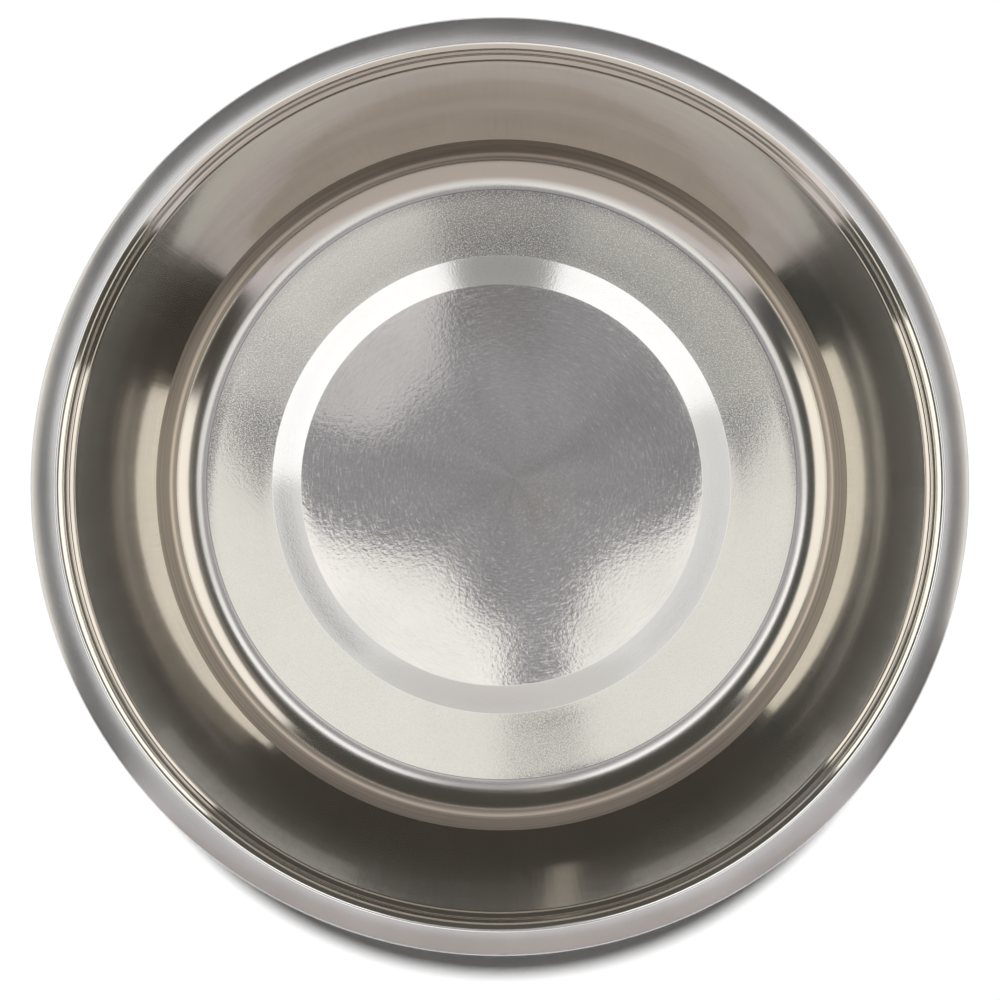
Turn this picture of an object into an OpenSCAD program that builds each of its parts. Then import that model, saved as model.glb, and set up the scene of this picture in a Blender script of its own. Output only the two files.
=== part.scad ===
// Stainless dog bowl: one deep-drawn steel pressing with a rolled rim, standing on a rubber ring.
// The origin is at the middle of the ring's underside, and +Z points up out of the bowl.

/* [Bowl] */
// Diameter over the rolled rim
bowl_d = 250; // [225:1:300]
// Depth from the rim's crest down to the floor
bowl_depth = 83; // [75:1:110]
// Thickness of the steel sheet
sheet_t = 0.8; // [0.5:0.1:1.2]

/* [Wall] */
// Inside radius where the floor turns up into the wall
foot_r = 13.5; // [10:0.5:18]
// Slope of the wall at the top of that turn, in degrees
foot_slope = 63; // [58:1:66]
// Radius of the wall's lowest part
low_r = 75; // [60:1:90]
// Slope at the top of the wall's lowest part, in degrees
low_slope = 73; // [70:1:75]
// Radius of the wall's middle part
mid_r = 150; // [120:5:180]
// Slope at the top of the wall's middle part, in degrees
mid_slope = 79; // [77:1:81]
// Slope at the top of the wall, in degrees
top_slope = 84.3; // [83:0.1:86]

/* [Rolled rim] */
// Radius of the small shoulder between the wall and the ledge under the rim
shoulder_r = 2.2; // [1.6:0.1:3]
// Slope of the ledge at its flattest, in degrees
ledge_slope = 20; // [12:1:28]
// Radius of the crease between the ledge and the drop
crease_r = 0.5; // [0.3:0.1:1]
// Length of the steep drop from the rim down to the ledge
drop_l = 2.6; // [1.5:0.1:5]
// Slope of the drop, in degrees
drop_slope = 78; // [74:1:82]
// Inside radius of the rim's crest
crest_r = 2.4; // [1.6:0.1:4]
// Radius of the rim's domed top face
face_r = 21.5; // [16:0.5:28]
// Fall of the top face at its outer edge, in degrees
face_fall = 15; // [10:1:18]
// Radius of the rim's outer edge
edge_r = 1.5; // [1.3:0.1:3]
// Height of the rim's straight outer side
side_h = 1.4; // [0.5:0.1:3]
// Width of the straight part rolled back under the rim
under_w = 2.8; // [1:0.1:3.4]
// How far the sheet's end turns up inside the roll, in degrees
tuck_turn = 70; // [40:5:90]

/* [Floor] */
// Width of the flat land between the wall's foot and the raised middle
land_w = 19.1; // [12:0.5:26]
// Width of the sloping band round the raised middle
band_w = 8.7; // [6:0.1:12]
// Height of the raised middle over the land
middle_rise = 0.8; // [0.5:0.1:2]
// Radius of the bends on both sides of the band
band_bend_r = 4; // [2:0.5:8]

/* [Rubber ring] */
// How far the steel stands off the ground on its ring
ring_drop = 2; // [1.5:0.1:4]
// Thickness of the bond between steel and rubber
bond_t = 0.3; // [0.2:0.05:0.5]
// How far the ring reaches in under the floor's land
ring_under = 6; // [3:0.5:10]
// How far the ring climbs the wall above the foot's turn
ring_climb = 4; // [2:0.5:6]
// Width of the ring's top lip
lip_w = 2; // [1.2:0.1:4]
// Rounding of the top lip
lip_r = 0.8; // [0.3:0.1:1]
// Rounding of the ring's outer bottom corner
corner_r = 3; // [1.5:0.5:5]

/* [Hidden] */
$fn = 180;
steel = [0.78, 0.77, 0.74];
rubber = [0.13, 0.13, 0.14];
// Largest turn between two points of a bend, in degrees, and the fewest points a bend has
bend_step = 6;
bend_points = 6;

// A path runs along the sheet's upper face, as a list of [radius, height, slope in degrees].
function last(path) = path[len(path) - 1];
function moved(path, by) = [for (p = path) [p[0] + by[0], p[1] + by[1], p[2]]];
// The points of a bend that carries on from a point to a new slope
function bend(from, slope, radius) =
    let (turn = slope - from[2], side = sign(turn), n = max(bend_points, ceil(abs(turn) / bend_step)))
    [for (i = [1:n]) let (s = from[2] + turn * i / n)
        [from[0] + side * radius * (sin(s) - sin(from[2])),
         from[1] - side * radius * (cos(s) - cos(from[2])), s]];
// The end of a straight stretch that carries on from a point
function straight(from, length) =
    [[from[0] + length * cos(from[2]), from[1] + length * sin(from[2]), from[2]]];
// The same path on a face that lies below by a thickness
function face_below(path, thickness) =
    [for (p = path) [p[0] + thickness * sin(p[2]), p[1] - thickness * cos(p[2])]];
function face_above(path) = [for (p = path) [p[0], p[1]]];
function reversed(list) = [for (i = [len(list) - 1:-1:0]) list[i]];
// Points round a corner, with the angle measured from outwards towards up
function corner(centre, radius, from, to) =
    [for (i = [0:bend_points]) let (a = from + (to - from) * i / bend_points)
        [centre[0] + radius * cos(a), centre[1] + radius * sin(a)]];

// The rim, from the top of the wall out over the crest and back under, drawn from its own start
shoulder = bend([0, 0, top_slope], ledge_slope, shoulder_r);
crease = bend(last(shoulder), drop_slope, crease_r);
drop = straight(last(crease), drop_l);
crest = bend(last(drop), 0, crest_r);
top_face = bend(last(crest), -face_fall, face_r);
edge = bend(last(top_face), -90, edge_r);
side = straight(last(edge), side_h);
under_bend = bend(last(side), -180, edge_r);
under = straight(last(under_bend), under_w);
tuck = bend(last(under), -180 - tuck_turn, edge_r);
rim = concat(shoulder, crease, drop, crest, top_face, edge, side, under_bend, under, tuck);
rim_rise = last(crest)[1];
rim_reach = last(edge)[0];

// The wall, from the edge of the floor up, drawn from its own start
foot = bend([0, 0, 0], foot_slope, foot_r);
low_wall = bend(last(foot), low_slope, low_r);
mid_wall = bend(last(low_wall), mid_slope, mid_r);
top_wall_r = (bowl_depth - rim_rise - last(mid_wall)[1]) / (cos(mid_slope) - cos(top_slope));
top_wall = bend(last(mid_wall), top_slope, top_wall_r);
wall = concat(foot, low_wall, mid_wall, top_wall);

// The floor, with its middle raised over the land that joins the wall
floor_r = bowl_d / 2 - rim_reach - last(wall)[0];
floor_z = ring_drop + sheet_t;
middle_r = floor_r - land_w - band_w;
band_slope = asin(middle_rise / band_w);
band_in = bend([0, 0, 0], -band_slope, band_bend_r);
band_run = straight(last(band_in), band_w - 2 * last(band_in)[0]);
band_out = bend(last(band_run), 0, band_bend_r);
band = concat([[0, 0, 0]], band_in, band_run, band_out);
floor_path = concat([[0, floor_z - last(band)[1], 0]], moved(band, [middle_r, floor_z - last(band)[1]]),
    [[floor_r, floor_z, 0]]);
upper_face = concat(floor_path, moved(wall, [floor_r, floor_z]),
    moved(rim, [floor_r + last(wall)[0], floor_z + last(wall)[1]]));

// The rubber's seat follows the steel's lower face round the foot, and ends a little way up the wall
seat_slope = acos(cos(foot_slope) - ring_climb / low_r);
seat = face_below(moved(concat([[0, 0, 0]], foot, bend(last(foot), seat_slope, low_r)), [floor_r, floor_z]),
    sheet_t + bond_t);
seat_top = last(seat);
ring_out_r = seat_top[0] + lip_w;
ring_in_r = floor_r - ring_under;

// The pressing is one sheet, closed in the middle and rolled over at the rim.
module bowl_pressing() {
    color(steel)
        rotate_extrude()
            polygon(concat(face_above(upper_face), reversed(face_below(upper_face, sheet_t))));
}

// The ring is bonded round the foot, and the bowl stands on its flat underside.
module non_slip_ring() {
    color(rubber)
        rotate_extrude()
            polygon(concat(
                [[ring_in_r, 0], [ring_in_r, ring_drop - bond_t]],
                seat,
                corner([ring_out_r - lip_r, seat_top[1] - lip_r], lip_r, 90, 0),
                corner([ring_out_r - corner_r, corner_r], corner_r, 0, -90)));
}

bowl_pressing();
non_slip_ring();
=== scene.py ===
import math

import bpy
from mathutils import Matrix, Vector


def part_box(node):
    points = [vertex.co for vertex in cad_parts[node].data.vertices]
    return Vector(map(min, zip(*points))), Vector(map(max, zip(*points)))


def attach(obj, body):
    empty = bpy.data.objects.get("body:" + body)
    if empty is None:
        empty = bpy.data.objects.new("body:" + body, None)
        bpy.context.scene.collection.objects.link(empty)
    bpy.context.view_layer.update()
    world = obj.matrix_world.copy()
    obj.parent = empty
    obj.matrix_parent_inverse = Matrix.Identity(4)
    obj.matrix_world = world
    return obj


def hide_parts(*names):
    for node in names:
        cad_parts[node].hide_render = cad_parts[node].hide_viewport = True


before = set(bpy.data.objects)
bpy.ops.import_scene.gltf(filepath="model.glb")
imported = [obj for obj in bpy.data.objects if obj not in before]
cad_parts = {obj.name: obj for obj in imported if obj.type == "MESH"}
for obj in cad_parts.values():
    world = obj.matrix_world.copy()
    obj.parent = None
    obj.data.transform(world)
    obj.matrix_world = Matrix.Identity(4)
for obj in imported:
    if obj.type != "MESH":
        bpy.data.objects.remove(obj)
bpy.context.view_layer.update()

# Sizes are in metres, angles in degrees and colours in linear light.
mm = 0.001

# The steel sheet, from the same driving dimensions as the solid that it replaces
BOWL_DEPTH = 83 * mm
SHEET = 0.8 * mm
FOOT_R = 13.5 * mm
FOOT_SLOPE = 63
LOW_WALL_R = 75 * mm
LOW_WALL_SLOPE = 73
MID_WALL_R = 150 * mm
MID_WALL_SLOPE = 79
TOP_WALL_SLOPE = 84.3
SHOULDER_R = 2.2 * mm
LEDGE_SLOPE = 20
CREASE_R = 0.5 * mm
DROP_LENGTH = 2.6 * mm
DROP_SLOPE = 78
CREST_R = 2.4 * mm
RIM_FACE_R = 21.5 * mm
RIM_FACE_FALL = 15
EDGE_R = 1.5 * mm
SIDE_HEIGHT = 1.4 * mm
UNDER_WIDTH = 2.8 * mm
TUCK_TURN = 70
LAND_WIDTH = 19.1 * mm
BAND_WIDTH = 8.7 * mm
MIDDLE_RISE = 0.8 * mm
BAND_BEND_R = 4 * mm

# The wall's slope where the heel starts and ends, the band whose colour holds a painted reflection
HEEL_START = 40
HEEL_END = 66

# The rubber ring, likewise
BOND = 0.3 * mm
RING_UNDER = 6 * mm
RING_CLIMB = 4 * mm
LIP_WIDTH = 2 * mm
LIP_R = 0.8 * mm
RING_CORNER_R = 3 * mm
RING_INNER_R = 0.5 * mm

# How finely a section and its turn round the axis are divided
BEND_STEP = 4
CORNER_STEP = 8
FEWEST_STEPS = 3
LONGEST_STEP = 3.5 * mm
TURN_STEPS = 192
MERGE_GAP = 0.001 * mm

# The camera looks down into the bowl, from a little off its axis.
CAMERA_HEIGHT = 750 * mm
CAMERA_OFF_AXIS = (6.1 * mm, 6.7 * mm)
AIM_OFF_AXIS = (0.2 * mm, -3.3 * mm)
LENS_MM = 101.7

# Tints of the steel where its finish differs or where light and shade are painted in, and of the rubber
STEEL_TINT = (0.74, 0.72, 0.69, 1)
BAND_TINT = (0.745, 0.735, 0.72, 1)
LAND_TINT = (0.67, 0.655, 0.61, 1)
# Painted reflection: the heel's dark brown stands in for the opposite wall mirrored in it
HEEL_REFLECTION_TINT = (0.43, 0.385, 0.34, 1)
# Painted highlight: the crest's tint is lighter than steel to stand in for the bright line of light along
# it
CREST_HIGHLIGHT_TINT = (0.95, 0.94, 0.90, 1)
RIM_TINT = (0.60, 0.595, 0.60, 1)
OUTSIDE_TINT = (0.57, 0.56, 0.545, 1)
RUBBER_TINT = (0.045, 0.045, 0.048, 1)

# How far marks and clouds each spread the steel's roughness
ROUGHNESS_SPREAD = 0.25
# The stretches of the noise over which marks and specks turn hazy
MARKS_HAZE_RANGE = (0.5, 0.75)
SPECKS_HAZE_RANGE = (0.45, 0.7)
# Specks across one grain of the sanded steel
SPECKS_PER_GRAIN = 1.8

# Keeps a whole quotient from being rounded down to the number below it
QUOTIENT_SLACK = 1e-6
# Keeps the distance from the axis above zero, in square metres
AXIS_SLACK = 1e-9


class Path:
    """A line along the upper face of a sheet.

    A point is its reach from the axis, its height, its slope and the finish of the stretch that ends there.
    """

    def __init__(self, reach=0, height=0, slope=0, finish=""):
        self.finish = finish
        self.points = [(reach, height, slope, finish)]

    def finished(self, finish):
        """What comes next has this finish."""
        self.finish = finish
        return self

    def bend(self, slope, radius):
        """Carries on round an arc of the sheet's upper face to a new slope."""
        reach, height, start, _ = self.points[-1]
        turn = slope - start
        side = math.copysign(radius, turn)
        length = radius * math.radians(abs(turn))
        steps = max(FEWEST_STEPS, math.ceil(abs(turn) / BEND_STEP), math.ceil(length / LONGEST_STEP))
        for step in range(1, steps + 1):
            now = start + turn * step / steps
            self.points.append((
                reach + side * (math.sin(math.radians(now)) - math.sin(math.radians(start))),
                height - side * (math.cos(math.radians(now)) - math.cos(math.radians(start))),
                now, self.finish))
        return self

    def run(self, length):
        """Carries on straight."""
        reach, height, slope, _ = self.points[-1]
        steps = math.ceil(length / LONGEST_STEP)
        for step in range(1, steps + 1):
            gone = length * step / steps
            self.points.append((reach + gone * math.cos(math.radians(slope)),
                                height + gone * math.sin(math.radians(slope)), slope, self.finish))
        return self

    @property
    def reach(self):
        return self.points[-1][0]

    @property
    def height(self):
        return self.points[-1][1]

    def moved(self, reach, height):
        """The same points, further out and up."""
        return [(r + reach, h + height, slope, finish) for r, h, slope, finish in self.points]


def below(points, depth, finish):
    """Points on a face that lies a depth below the upper one."""
    lower = []
    for reach, height, slope, _ in points:
        angle = math.radians(slope)
        lower.append((reach + depth * math.sin(angle), height - depth * math.cos(angle), slope, finish))
    return lower


def corner(reach, height, radius, start, end, finish):
    """Points round a corner, with the angle measured from outwards towards up."""
    steps = max(FEWEST_STEPS, math.ceil(abs(end - start) / CORNER_STEP))
    angles = [math.radians(start + (end - start) * step / steps) for step in range(steps + 1)]
    return [(reach + radius * math.cos(a), height + radius * math.sin(a), 0, finish) for a in angles]


# The sheet's upper face, in three stretches that each start at their own zero
rim = Path(slope=TOP_WALL_SLOPE, finish="wall")
rim.bend(LEDGE_SLOPE, SHOULDER_R).bend(DROP_SLOPE, CREASE_R).run(DROP_LENGTH)
rim.finished("crest").bend(0, CREST_R).finished("rim")
rim_rise = rim.height
rim.bend(-RIM_FACE_FALL, RIM_FACE_R).bend(-90, EDGE_R)
rim_reach = rim.reach
rim.run(SIDE_HEIGHT).bend(-180, EDGE_R).run(UNDER_WIDTH).finished("outside").bend(-180 - TUCK_TURN, EDGE_R)

wall = Path(finish="foot").bend(HEEL_START, FOOT_R).finished("heel").bend(FOOT_SLOPE, FOOT_R)
wall.bend(HEEL_END, LOW_WALL_R).finished("wall").bend(LOW_WALL_SLOPE, LOW_WALL_R)
wall.bend(MID_WALL_SLOPE, MID_WALL_R)
top_wall_r = (BOWL_DEPTH - rim_rise - wall.height) / (
    math.cos(math.radians(MID_WALL_SLOPE)) - math.cos(math.radians(TOP_WALL_SLOPE)))
wall.bend(TOP_WALL_SLOPE, top_wall_r)

# Where they stand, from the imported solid
_, bowl_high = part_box("bowl_pressing")
floor_r = bowl_high.x - rim_reach - wall.reach
floor_z = bowl_high.z - BOWL_DEPTH
middle_r = floor_r - LAND_WIDTH - BAND_WIDTH
band_slope = math.degrees(math.asin(MIDDLE_RISE / BAND_WIDTH))
band_bend = Path(finish="band").bend(-band_slope, BAND_BEND_R)
floor = Path(height=floor_z, finish="middle").run(middle_r).finished("band").bend(-band_slope, BAND_BEND_R)
floor.run(BAND_WIDTH - 2 * band_bend.reach).bend(0, BAND_BEND_R).finished("land")
floor.run(floor_r - floor.reach)

# A painted highlight, a light line round the heel: its distances from the axis where it starts, is
# brightest and ends
HEEL_HIGHLIGHT_LINE = (floor_r + 9.3 * mm, floor_r + 10.1 * mm, floor_r + 10.9 * mm)
# A painted shade, the dark line in the crease where the floor turns up, likewise
CREASE_SHADE_LINE = (floor_r - 0.2 * mm, floor_r + 0.15 * mm, floor_r + 0.5 * mm)


def bowl_section():
    """Up the inside to the rolled rim, round the sheet's end and back underneath to the axis."""
    upper = (floor.moved(0, floor_z - floor.height) + wall.moved(floor_r, floor_z)[1:]
             + rim.moved(floor_r + wall.reach, floor_z + wall.height)[1:])
    return upper + below(upper, SHEET, "outside")[::-1]


def ring_section():
    """Round the rubber ring, from its inner bottom edge up, over the seat and down the outside."""
    seat_slope = math.degrees(math.acos(math.cos(math.radians(FOOT_SLOPE)) - RING_CLIMB / LOW_WALL_R))
    seat_path = Path(finish="rubber").bend(FOOT_SLOPE, FOOT_R).bend(seat_slope, LOW_WALL_R)
    seat = below(seat_path.moved(floor_r, floor_z), SHEET + BOND, "rubber")
    inner, outer = floor_r - RING_UNDER, seat[-1][0] + LIP_WIDTH
    top = seat[-1][1]
    return (corner(inner + RING_INNER_R, RING_INNER_R, RING_INNER_R, 270, 180, "rubber")
            + corner(inner + RING_INNER_R, seat[0][1] - RING_INNER_R, RING_INNER_R, 180, 90, "rubber")
            + seat + corner(outer - LIP_R, top - LIP_R, LIP_R, 90, 0, "rubber")
            + corner(outer - RING_CORNER_R, RING_CORNER_R, RING_CORNER_R, 0, -90, "rubber")
            + [(inner + RING_INNER_R, 0, 0, "rubber")])


class Wire:
    """An output socket in a node tree. An expression with it adds Math nodes."""

    def __init__(self, nodes, socket):
        self.nodes = nodes
        self.socket = socket

    def math(self, operation, *others):
        return self.nodes.add("ShaderNodeMath", {"operation": operation}, dict(enumerate((self, *others))))

    def __add__(self, other):
        return self.math("ADD", other)

    def __sub__(self, other):
        return self.math("SUBTRACT", other)

    def __mul__(self, other):
        return self.math("MULTIPLY", other)

    def __truediv__(self, other):
        return self.math("DIVIDE", other)

    def __rsub__(self, other):
        return self.nodes.add("ShaderNodeMath", {"operation": "SUBTRACT"}, {0: other, 1: self})

    def __rtruediv__(self, other):
        return self.nodes.add("ShaderNodeMath", {"operation": "DIVIDE"}, {0: other, 1: self})

    __radd__ = __add__
    __rmul__ = __mul__

    def output(self, name):
        """Another output of the same node."""
        return Wire(self.nodes, self.socket.node.outputs[name])

    def rising(self, low, high):
        """From 0 at low to 1 at high, eased at both ends."""
        return self.nodes.add("ShaderNodeMapRange", {"interpolation_type": "SMOOTHSTEP"},
                              {"Value": self, "From Min": low, "From Max": high})


class Nodes:
    """A material's or a modifier's node tree."""

    def __init__(self, tree):
        self.tree = tree

    def add(self, kind, settings=None, inputs=None, output=0):
        """Adds a node, with its settings before its inputs, and gives one of its outputs."""
        node = self.tree.nodes.new(kind)
        for name, value in (settings or {}).items():
            setattr(node, name, value)
        for name, value in (inputs or {}).items():
            self.plug(node.inputs[name], value)
        return Wire(self, node.outputs[output])

    def plug(self, socket, value):
        if isinstance(value, Wire):
            self.tree.links.new(value.socket, socket)
        else:
            socket.default_value = value


def turning_tree(name, materials):
    """Geometry nodes that turn a section, a chain of points in the XZ plane, round the Z axis.

    They start from a grid with a row for each point of the section and a column for each step round.
    """
    tree = bpy.data.node_groups.new(name, "GeometryNodeTree")
    tree.interface.new_socket("Section", in_out="INPUT", socket_type="NodeSocketGeometry")
    tree.interface.new_socket("Steps round", in_out="INPUT", socket_type="NodeSocketInt")
    tree.interface.new_socket("Merge gap", in_out="INPUT", socket_type="NodeSocketFloat")
    tree.interface.new_socket("Turned", in_out="OUTPUT", socket_type="NodeSocketGeometry")
    nodes = Nodes(tree)
    section = nodes.add("NodeGroupInput")
    steps = section.output("Steps round")
    rows = nodes.add("GeometryNodeAttributeDomainSize", {"component": "MESH"}, {"Geometry": section})
    columns = steps + 1
    grid = nodes.add("GeometryNodeMeshGrid", None, {"Vertices X": rows, "Vertices Y": columns})
    index = nodes.add("GeometryNodeInputIndex")
    row = (index / columns + QUOTIENT_SLACK).math("FLOOR")
    turn = (index - row * columns) / steps

    def sampled(kind, value, at):
        return nodes.add("GeometryNodeSampleIndex", {"data_type": kind, "domain": "POINT"},
                         {"Geometry": section, "Value": value, "Index": at})

    def named(kind, attribute):
        return nodes.add("GeometryNodeInputNamedAttribute", {"data_type": kind}, {"Name": attribute})

    place = nodes.add("ShaderNodeSeparateXYZ", None,
                      {0: sampled("FLOAT_VECTOR", nodes.add("GeometryNodeInputPosition"), row)})
    angle = turn * math.tau
    turned_place = nodes.add("ShaderNodeCombineXYZ", None, {
        "X": place * angle.math("COSINE"), "Y": place * angle.math("SINE"), "Z": place.output("Z")})
    moved = nodes.add("GeometryNodeSetPosition", None, {"Geometry": grid, "Position": turned_place})
    strip = nodes.add("ShaderNodeCombineXYZ", None, {
        "X": turn, "Y": sampled("FLOAT", named("FLOAT", "along"), row)})
    on_points = nodes.add("GeometryNodeCaptureAttribute", {"domain": "POINT"}, {"Geometry": moved})
    capture = on_points.socket.node
    capture.capture_items.new("VECTOR", "Strip")
    nodes.plug(capture.inputs["Strip"], strip)
    # The map named OFBake: the turn runs across it, and the section's length up it.
    mapped = nodes.add("GeometryNodeStoreNamedAttribute", {"data_type": "FLOAT2", "domain": "CORNER"}, {
        "Geometry": on_points, "Name": "OFBake", "Value": on_points.output("Strip")})
    face_row = (index / steps + QUOTIENT_SLACK).math("FLOOR")
    on_faces = nodes.add("GeometryNodeCaptureAttribute", {"domain": "FACE"}, {"Geometry": mapped})
    capture = on_faces.socket.node
    capture.capture_items.new("INT", "Finish")
    nodes.plug(capture.inputs["Finish"], sampled("INT", named("INT", "finish"), face_row + 1))
    finish = on_faces.output("Finish")
    merged = nodes.add("GeometryNodeMergeByDistance", None,
                       {"Geometry": on_faces, "Distance": section.output("Merge gap")})
    smooth = nodes.add("GeometryNodeSetShadeSmooth", None, {"Geometry": merged})
    made = nodes.add("GeometryNodeRealizeInstances", None, {"Geometry": smooth})
    for number, material in enumerate(materials):
        here = nodes.add("FunctionNodeCompare", {"data_type": "INT", "operation": "EQUAL"},
                         {"A": finish, "B": number})
        made = nodes.add("GeometryNodeSetMaterial", None,
                         {"Geometry": made, "Selection": here, "Material": material})
    end = tree.nodes.new("NodeGroupOutput")
    nodes.plug(end.inputs["Turned"], made)
    return tree


def turned(name, section, materials):
    """A closed mesh: the section turned round the Z axis, with a material for each finish that it names."""
    finishes = list(materials)
    lengths = [0]
    for (r0, h0, *_), (r1, h1, *_) in zip(section, section[1:]):
        lengths.append(lengths[-1] + math.hypot(r1 - r0, h1 - h0))
    mesh = bpy.data.meshes.new(name + "_section")
    mesh.from_pydata([(r, 0, h) for r, h, *_ in section],
                     [(i, i + 1) for i in range(len(section) - 1)], [])
    along = mesh.attributes.new("along", "FLOAT", "POINT")
    along.data.foreach_set("value", [length / lengths[-1] for length in lengths])
    numbers = mesh.attributes.new("finish", "INT", "POINT")
    numbers.data.foreach_set("value", [finishes.index(finish) for *_, finish in section])
    piece = bpy.data.objects.new(name, mesh)
    bpy.context.scene.collection.objects.link(piece)
    turning = piece.modifiers.new("Turning", "NODES")
    turning.node_group = turning_tree(name + "_turning", list(materials.values()))
    values = {"Steps round": TURN_STEPS, "Merge gap": MERGE_GAP}
    for item in turning.node_group.interface.items_tree:
        if item.name in values:
            turning[item.identifier] = values[item.name]
    evaluated = piece.evaluated_get(bpy.context.evaluated_depsgraph_get())
    piece.data = bpy.data.meshes.new_from_object(evaluated)
    piece.modifiers.clear()
    piece.data.name = name
    return piece


def new_material(name):
    material = bpy.data.materials.new(name)
    material.use_nodes = True
    material.node_tree.nodes.clear()
    return material, Nodes(material.node_tree)


def finish_material(nodes, surface):
    end = nodes.tree.nodes.new("ShaderNodeOutputMaterial")
    nodes.plug(end.inputs["Surface"], surface)


def round_axis(nodes, off=(0, 0)):
    """The surface's place, its distance from the Z axis, its height, and its angle's cosine and sine.

    The distance and the angle are taken from an axis that is moved off by the two lengths given.
    """
    place = nodes.add("ShaderNodeTexCoord", None, None, "Object")
    x = nodes.add("ShaderNodeSeparateXYZ", None, {0: place})
    y = x.output("Y")
    z = x.output("Z")
    if off != (0, 0):
        x = x - off[0]
        y = y - off[1]
    reach = (x * x + y * y + AXIS_SLACK).math("SQRT")
    return place, reach, z, x / reach, y / reach


def turning_marks(nodes, across, cosine, sine, width, shortness, detail=3):
    """Noise drawn out round the axis, as fine lines that are as far apart as width.

    Across runs from line to line, and the more shortness, the sooner a line breaks off.
    """
    where = nodes.add("ShaderNodeCombineXYZ", None, {
        "X": cosine * shortness, "Y": sine * shortness, "Z": across / width})
    return nodes.add("ShaderNodeTexNoise", None,
                     {"Vector": where, "Scale": 1, "Detail": detail, "Roughness": 0.6})


def steel(name, roughness, anisotropy, marks_height, marks_width, off=(0, 0), marks_tone=0, marks_haze=0,
          shortness=6, grain_height=0, grain_size=0.6 * mm, grain_tone=0, grain_haze=0, waves_height=0,
          sheen_wedge_tone=0, cloud_tone=0.04, line=None, painted_line_tone=0, tint=STEEL_TINT, metallic=1.0):
    """Stainless steel with turning marks round the axis.

    It has sand grain, waves, wedges of painted sheen or a painted light or dark line only where they
    are given. A height stands off the surface, a tone is how far it lightens and darkens the steel,
    and a haze is how much rougher it makes it.
    """
    material, nodes = new_material(name)
    place, reach, z, cosine, sine = round_axis(nodes, off)
    across = reach + z
    marks = turning_marks(nodes, across, cosine, sine, marks_width, shortness)
    clouds = nodes.add("ShaderNodeTexNoise", None, {"Vector": place, "Scale": 40, "Detail": 3})
    height = marks * marks_height
    tone = 1 + (marks - 0.5) * (2 * marks_tone) + (clouds - 0.5) * (2 * cloud_tone)
    rough = (marks * ROUGHNESS_SPREAD + clouds * ROUGHNESS_SPREAD + (1 - ROUGHNESS_SPREAD)) * roughness
    if marks_haze:
        rough = rough + marks.rising(*MARKS_HAZE_RANGE) * marks_haze
    if grain_height:
        grain = nodes.add("ShaderNodeTexNoise", None, {
            "Vector": place, "Scale": 1 / grain_size, "Detail": 1})
        height = height + grain * grain_height
        specks = nodes.add("ShaderNodeTexNoise", None, {
            "Vector": place, "Scale": SPECKS_PER_GRAIN / grain_size, "Detail": 1, "Roughness": 0.7})
        tone = tone + (specks - 0.5) * (2 * grain_tone)
        rough = rough + specks.rising(*SPECKS_HAZE_RANGE) * grain_haze
    if waves_height:
        waves = turning_marks(nodes, across, cosine, sine, width=4 * mm, shortness=3, detail=1)
        height = height + waves * waves_height
    # Painted sheen: light and dark wedges out from the axis stand in for the turned finish's sheen
    if sheen_wedge_tone:
        wedges = turning_marks(nodes, reach, cosine, sine, width=30 * mm, shortness=1.6, detail=1)
        tone = tone + (wedges - 0.5) * (2 * sheen_wedge_tone)
    # A painted line round the axis: lighter as a painted highlight, darker as painted shade
    if line:
        start, middle, end = line
        tone = tone + reach.rising(start, middle) * (1 - reach.rising(middle, end)) * painted_line_tone
    bump = nodes.add("ShaderNodeBump", None, {"Height": height, "Strength": 1.0, "Distance": 1.0})
    colour = nodes.add("ShaderNodeVectorMath", {"operation": "SCALE"}, {0: tint[:3], "Scale": tone})
    surface = nodes.add("ShaderNodeBsdfPrincipled", None, {
        "Base Color": colour, "Metallic": metallic, "Roughness": rough, "Normal": bump,
        "Anisotropic": anisotropy, "Anisotropic Rotation": 0.25})
    finish_material(nodes, surface)
    return material


def rubber(name):
    """Matte moulded rubber."""
    material, nodes = new_material(name)
    place = nodes.add("ShaderNodeTexCoord", None, None, "Object")
    grain = nodes.add("ShaderNodeTexNoise", None, {"Vector": place, "Scale": 1800, "Detail": 3})
    clouds = nodes.add("ShaderNodeTexNoise", None, {"Vector": place, "Scale": 60, "Detail": 3})
    bump = nodes.add("ShaderNodeBump", None, {
        "Height": grain * (0.03 * mm), "Strength": 1.0, "Distance": 1.0})
    surface = nodes.add("ShaderNodeBsdfPrincipled", None, {
        "Base Color": RUBBER_TINT, "Roughness": clouds * 0.25 + 0.5, "Normal": bump})
    finish_material(nodes, surface)
    return material


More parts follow.
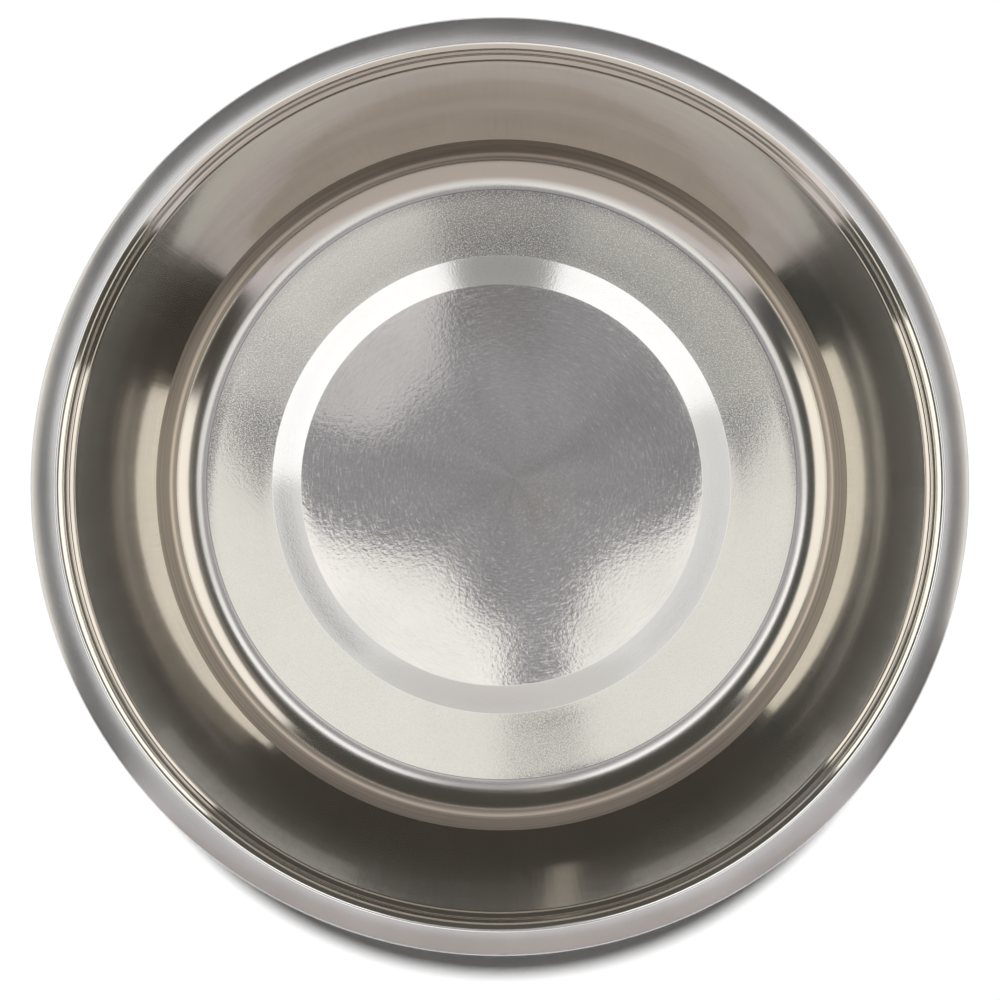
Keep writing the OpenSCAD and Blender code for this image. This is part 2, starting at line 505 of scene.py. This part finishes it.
steel_finishes = {
    # The middle's wedges are painted sheen
    "middle": steel("brushed_middle", roughness=0.05, anisotropy=0.2, marks_height=0.0004 * mm,
                    marks_width=0.5 * mm, off=(4 * mm, 2 * mm), marks_tone=0.15, marks_haze=0.06,
                    shortness=14, grain_height=0.0062 * mm, grain_size=1 * mm, grain_tone=0.05,
                    grain_haze=0.03, sheen_wedge_tone=0.2, cloud_tone=0.1),
    "band": steel("polished_band", roughness=0.08, anisotropy=0.2, marks_height=0.0003 * mm,
                  marks_width=0.6 * mm, grain_height=0.004 * mm, grain_size=0.6 * mm, grain_tone=0.02,
                  grain_haze=0.03, tint=BAND_TINT),
    "land": steel("sanded_land", roughness=0.055, anisotropy=0.2, marks_height=0.0003 * mm,
                  marks_width=0.5 * mm, grain_height=0.0034 * mm, grain_size=0.62 * mm, grain_tone=0.35,
                  grain_haze=0.16, cloud_tone=0.06, tint=LAND_TINT),
    # Painted shade: a dark line along the crease where the floor turns up
    "foot": steel("polished_foot", roughness=0.14, anisotropy=0.4, marks_height=0.0003 * mm,
                  marks_width=0.7 * mm, line=CREASE_SHADE_LINE, painted_line_tone=-0.5),
    # Painted reflection and highlight: the heel's brown tint, strong light and dark rings and light line
    "heel": steel("heel_painted_reflection", roughness=0.42, anisotropy=0.3, marks_height=0.001 * mm,
                  marks_width=1.1 * mm, marks_tone=0.6, shortness=1, line=HEEL_HIGHLIGHT_LINE, painted_line_tone=1.0,
                  tint=HEEL_REFLECTION_TINT, metallic=0.7),
    "wall": steel("polished_wall", roughness=0.085, anisotropy=0.5, marks_height=0.0003 * mm,
                  marks_width=1 * mm, marks_tone=0.1, shortness=3, waves_height=0.006 * mm,
                  cloud_tone=0.1),
    # Polished, and lighter in colour as a painted highlight
    "crest": steel("polished_crest_painted_highlight", roughness=0.1, anisotropy=0.5, marks_height=0.0004 * mm,
                   marks_width=0.4 * mm, tint=CREST_HIGHLIGHT_TINT),
    "rim": steel("satin_rim", roughness=0.21, anisotropy=0.5, marks_height=0.001 * mm,
                 marks_width=0.3 * mm, cloud_tone=0.2, tint=RIM_TINT, metallic=0.85),
    "outside": steel("brushed_outside", roughness=0.2, anisotropy=0.6, marks_height=0.0012 * mm,
                     marks_width=0.5 * mm, marks_tone=0.3, shortness=4, waves_height=0.006 * mm,
                     cloud_tone=0.15, tint=OUTSIDE_TINT),
}
bowl = turned("steel_bowl", bowl_section(), steel_finishes)
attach(bowl, "root")
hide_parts("bowl_pressing")

ring = turned("rubber_ring", ring_section(), {"rubber": rubber("moulded_rubber")})
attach(ring, "root")
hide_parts("non_slip_ring")

# The studio: a softbox on each side, cards overhead, an upright white board at the picture's lower side
# and a dark room round them. Only mirrors show them. The floor lies just under the ring, so that their
# faces don't share a plane.
rim_z = bowl_high.z
WHITE = (1.0, 0.99, 0.97)
NEUTRAL = (1, 1, 1)
PALE_BLUE = (0.95, 0.93, 1.0)
PALE_PINK = (1.0, 0.98, 1.0)
PALE_TAN = (1.0, 0.93, 0.83)
TAN = (1.0, 0.88, 0.74)
CEILING_Z = 2.0
BOARD_Y = -0.4
BOARD_HALF = 0.51
BOARD_LOW = 0.1
BOARD_MIDDLE = 1.22
BOARD_HIGH = 1.55
# How far the card with the bowl's painted shadow stands off the board
SHADOW_OFF_BOARD = 0.002
FLOOR_Z = -0.05 * mm
FLOOR_HALF = 3

# Distances from the axis of the ceiling's rings of cards
MIDDLE_R = 0.34
INNER_R = 0.36
OUTER_R = 0.64
WIDE_R = 0.68
FAR_R = 0.86
HAZE_R = 1.0
# Steps between two stops of an eased edge
EASED_STEPS = 10


def shown_to_mirrors_only(panel):
    """Hides a card from the camera, and keeps its light and shadow off the floor."""
    panel.visible_camera = panel.visible_diffuse = panel.visible_shadow = False


def softbox(name, centre, facing, width, height, colour, radiance):
    """A one-sided panel of light that only mirrors show."""
    light = bpy.data.lights.new(name, "AREA")
    light.shape = "RECTANGLE"
    light.size = width
    light.size_y = height
    light.color = colour
    light.energy = radiance * math.pi * width * height
    panel = bpy.data.objects.new(name, light)
    panel.location = centre
    panel.rotation_euler = Vector(facing).to_track_quat("-Z", "Y").to_euler()
    panel.visible_camera = panel.visible_diffuse = False
    bpy.context.scene.collection.objects.link(panel)


def card(name, corners, colour, strength):
    """A flat glowing card that only mirrors show."""
    material, nodes = new_material(name)
    glow = nodes.add("ShaderNodeEmission", None, {"Color": (*colour, 1), "Strength": strength})
    finish_material(nodes, glow)
    mesh = bpy.data.meshes.new(name)
    mesh.from_pydata(corners, [], [tuple(range(len(corners)))])
    mesh.materials.append(material)
    made = bpy.data.objects.new(name, mesh)
    bpy.context.scene.collection.objects.link(made)
    shown_to_mirrors_only(made)


def overhead(name, outline, colour, strength, drop=0):
    """A card at the ceiling, or a drop below it, from its outline in plan."""
    card(name, [(x, y, CEILING_Z - drop) for x, y in outline], colour, strength)


def upright(name, y, outline, colour, strength):
    """A card that stands across the Y axis, from its outline in X and Z."""
    card(name, [(x, y, z) for x, z in outline], colour, strength)


def arc(radius, start, end, step=10):
    """Points round the Z axis, in plan."""
    count = round(abs(end - start) / step)
    angles = [math.radians(start + (end - start) * i / count) for i in range(count + 1)]
    return [(radius * math.cos(a), radius * math.sin(a)) for a in angles]


def eased_edge(stops):
    """Points in plan that ease from stop to stop.

    A stop is an angle round the Z axis and a distance from it.
    """
    points = []
    for (start, near), (end, far) in zip(stops, stops[1:]):
        for step in range(EASED_STEPS):
            angle = math.radians(start + (end - start) * step / EASED_STEPS)
            reach = near + (far - near) * (1 - math.cos(math.pi * step / EASED_STEPS)) / 2
            points.append((reach * math.cos(angle), reach * math.sin(angle)))
    end, reach = stops[-1]
    return points + [(reach * math.cos(math.radians(end)), reach * math.sin(math.radians(end)))]


softbox("right_softbox", centre=(0.9, 0.3685, 0.58), facing=(-1, 0, 0), width=1.285, height=1.15,
        colour=(1.0, 0.95, 0.87), radiance=1.0)
softbox("left_softbox", centre=(-0.75, 0.145, 0.475), facing=(1, 0, 0), width=0.925, height=0.94,
        colour=(1.0, 0.94, 0.83), radiance=1.15)

overhead("overhead_left", arc(INNER_R, 105, 268) + eased_edge([
    (269, 0.25), (266, 0.16), (232, 0.12), (160, 0.31), (130, 0.333), (105, 0.333)]), WHITE, 1.16)
overhead("overhead_right", arc(INNER_R, 77, -77) + eased_edge([
    (-76, 0.255), (-73, 0.165), (-50, 0.13), (45, 0.312), (79, 0.316)]), WHITE, 1.12)
overhead("overhead_gap", [(-0.01, -0.25), (-0.015, -0.36), (0.085, -0.36), (0.06, -0.25)],
         WHITE, 0.75, drop=0.01)
overhead("overhead_middle", arc(MIDDLE_R, 0, 350), PALE_BLUE, 0.35, drop=-0.01)
overhead("overhead_glow", [
    (-0.30, 0.08), (-0.14, 0.03), (-0.07, 0.10), (-0.08, 0.30), (-0.2, 0.30), (-0.30, 0.2)],
    PALE_PINK, 0.68, drop=0.01)
overhead("overhead_back_left", eased_edge([
    (148, 0.31), (147, 0.24), (110, 0.25), (105, 0.333), (136, 0.333)]), WHITE, 0.86, drop=0.02)
overhead("overhead_back_right", eased_edge([
    (14, 0.205), (77, 0.22), (79, 0.316), (45, 0.312), (18, 0.275)]), WHITE, 0.57, drop=0.01)
overhead("outer_dim", arc(INNER_R, 20, -180) + arc(OUTER_R, -180, 20), WHITE, 0.93)
overhead("outer_right", arc(INNER_R, 20, 77) + arc(WIDE_R, 77, 20), NEUTRAL, 1.38)
overhead("outer_left", arc(INNER_R, 105, 180) + arc(WIDE_R, 180, 105), NEUTRAL, 1.4)
overhead("outer_back", arc(INNER_R, 77, 105) + arc(OUTER_R, 105, 77), WHITE, 0.42)
overhead("far_right", arc(WIDE_R, 35, 70) + arc(FAR_R, 70, 35), WHITE, 0.36)
overhead("far_left", arc(WIDE_R, 145, 110) + arc(FAR_R, 110, 145), WHITE, 0.36)
overhead("outer_haze", arc(HAZE_R, 0, 350), (1.0, 0.95, 0.9), 0.12, drop=-0.1)
overhead("camera_stand", [(-0.05, 0.12), (0.02, 0.12), (0.04, 0.24), (-0.08, 0.24)],
         PALE_PINK, 0.27, drop=0.02)
overhead("camera_arm", [(-0.08, 0.24), (0.04, 0.24), (0.05, 0.36), (-0.10, 0.36)],
         (1.0, 0.98, 0.98), 0.41, drop=0.02)
overhead("back_light", [(-0.085, 0.66), (-0.145, 0.66), (-0.26, 1.18), (-0.18, 1.18)],
         PALE_TAN, 0.5, drop=-0.05)
overhead("camera_lens", [(x + 0.02, y - 0.03) for x, y in arc(0.03, 0, 340, step=20)],
         WHITE, 0.30, drop=0.03)

upright("board", BOARD_Y, [
    (-BOARD_HALF, BOARD_LOW), (BOARD_HALF, BOARD_LOW), (BOARD_HALF, BOARD_MIDDLE),
    (-BOARD_HALF, BOARD_MIDDLE)], (1.0, 0.92, 0.925), 0.7)
upright("board_top", BOARD_Y, [
    (-BOARD_HALF, BOARD_MIDDLE), (BOARD_HALF, BOARD_MIDDLE), (BOARD_HALF, BOARD_HIGH),
    (-BOARD_HALF, BOARD_HIGH)], (1.0, 0.985, 0.95), 0.76)
# A dimmer card on the board: the bowl's painted shadow on it
board_shadow_right = [(0.39, BOARD_LOW), (0.39, 0.62), (0.34, 0.70), (0.26, 0.74), (0.24, 0.87), (0.20, 0.97),
              (0.10, 1.03)]
board_shadow_left = [(-x, z) for x, z in board_shadow_right[::-1]]
upright("board_shadow", BOARD_Y + SHADOW_OFF_BOARD, board_shadow_right + board_shadow_left, (1.0, 0.89, 0.80), 0.54)

# The room: half its width and its height, and each side's direction from the middle, colour and level
ROOM = 1.2
ROOM_TOP = 2.2
ROOM_SIDES = (
    ((1, 0, 0), (1.0, 0.90, 0.78), 0.23),
    ((0, 1, 0), (1.0, 0.92, 0.80), 0.08),
    ((-1, 0, 0), (1.0, 1.0, 0.94), 0.075),
    ((0, -1, 0), TAN, 0.07),
)
rise = Vector((0, 0, ROOM_TOP))
card("room_top", [(-ROOM, -ROOM, ROOM_TOP), (ROOM, -ROOM, ROOM_TOP), (ROOM, ROOM, ROOM_TOP),
                  (-ROOM, ROOM, ROOM_TOP)], PALE_TAN, 0.09)
for number, (direction, colour, level) in enumerate(ROOM_SIDES):
    centre = Vector(direction) * ROOM
    along = Vector((-direction[1], direction[0], 0)) * ROOM
    card(f"room_side_{number}", [centre - along, centre + along, centre + along + rise,
                                 centre - along + rise], colour, level)
card("room_corner", [(1.15, -1.15, 0), (1.15, -0.33, 0), (1.15, -0.33, 2.1), (1.15, -1.15, 2.1)],
     TAN, 0.07)

# The lamp that casts the bowl's shadow down the picture. At level 1 it makes a white face that is turned
# to it look white. Its width is in degrees, and its direction is the way in which it shines.
KEY_LEVEL = 0.98
KEY_WIDTH = 3.5
KEY_DIRECTION = (0, -1, -4.15)
key = bpy.data.lights.new("key", "SUN")
key.energy = KEY_LEVEL * math.pi
key.angle = math.radians(KEY_WIDTH)
key_object = bpy.data.objects.new("key", key)
key_object.rotation_euler = Vector(KEY_DIRECTION).to_track_quat("-Z", "Y").to_euler()
key_object.visible_glossy = False
bpy.context.scene.collection.objects.link(key_object)


# The world's light on matt faces, where what mirrors and the camera see of it is 1
WORLD_LIGHT = 0.06


def seen_directly(nodes):
    """1 for rays from the camera, mirrors and glass."""
    path = nodes.add("ShaderNodeLightPath", None, None, "Is Camera Ray")
    seen = path.math("MAXIMUM", path.output("Is Glossy Ray"))
    return seen.math("MAXIMUM", path.output("Is Transmission Ray"))


def pale_floor():
    """A pale floor that looks white where nothing shades it."""
    material, nodes = new_material("pale_floor")
    finish_material(nodes, nodes.add("ShaderNodeBsdfPrincipled", None, {
        "Base Color": (0.98, 0.98, 0.98, 1), "Roughness": 0.9, "Specular IOR Level": 0.0,
        "Emission Color": (1, 1, 1, 1), "Emission Strength": seen_directly(nodes) * 0.01}))
    mesh = bpy.data.meshes.new("pale_floor")
    corners = [(-1, -1), (1, -1), (1, 1), (-1, 1)]
    mesh.from_pydata([(x * FLOOR_HALF, y * FLOOR_HALF, FLOOR_Z) for x, y in corners], [], [(0, 1, 2, 3)])
    mesh.materials.append(material)
    made = bpy.data.objects.new("pale_floor", mesh)
    bpy.context.scene.collection.objects.link(made)


def white_world():
    """A world that looks white and lights the scene faintly."""
    world = bpy.data.worlds.new("white_world")
    world.use_nodes = True
    world.node_tree.nodes.clear()
    nodes = Nodes(world.node_tree)
    back = nodes.add("ShaderNodeBackground", None, {
        "Color": (1, 1, 1, 1), "Strength": seen_directly(nodes) * (1 - WORLD_LIGHT) + WORLD_LIGHT})
    end = world.node_tree.nodes.new("ShaderNodeOutputWorld")
    nodes.plug(end.inputs["Surface"], back)
    bpy.context.scene.world = world


pale_floor()
white_world()

camera = bpy.data.cameras.new("camera")
camera.lens = LENS_MM
camera_object = bpy.data.objects.new("camera", camera)
camera_object.location = (*CAMERA_OFF_AXIS, rim_z + CAMERA_HEIGHT)
back = (camera_object.location - Vector((*AIM_OFF_AXIS, rim_z))).normalized()
right = Vector((0, 1, 0)).cross(back).normalized()
camera_object.rotation_euler = Matrix((right, back.cross(right), back)).transposed().to_euler()
bpy.context.scene.collection.objects.link(camera_object)
bpy.context.scene.camera = camera_object
bpy.context.scene.view_settings.view_transform = "Standard"
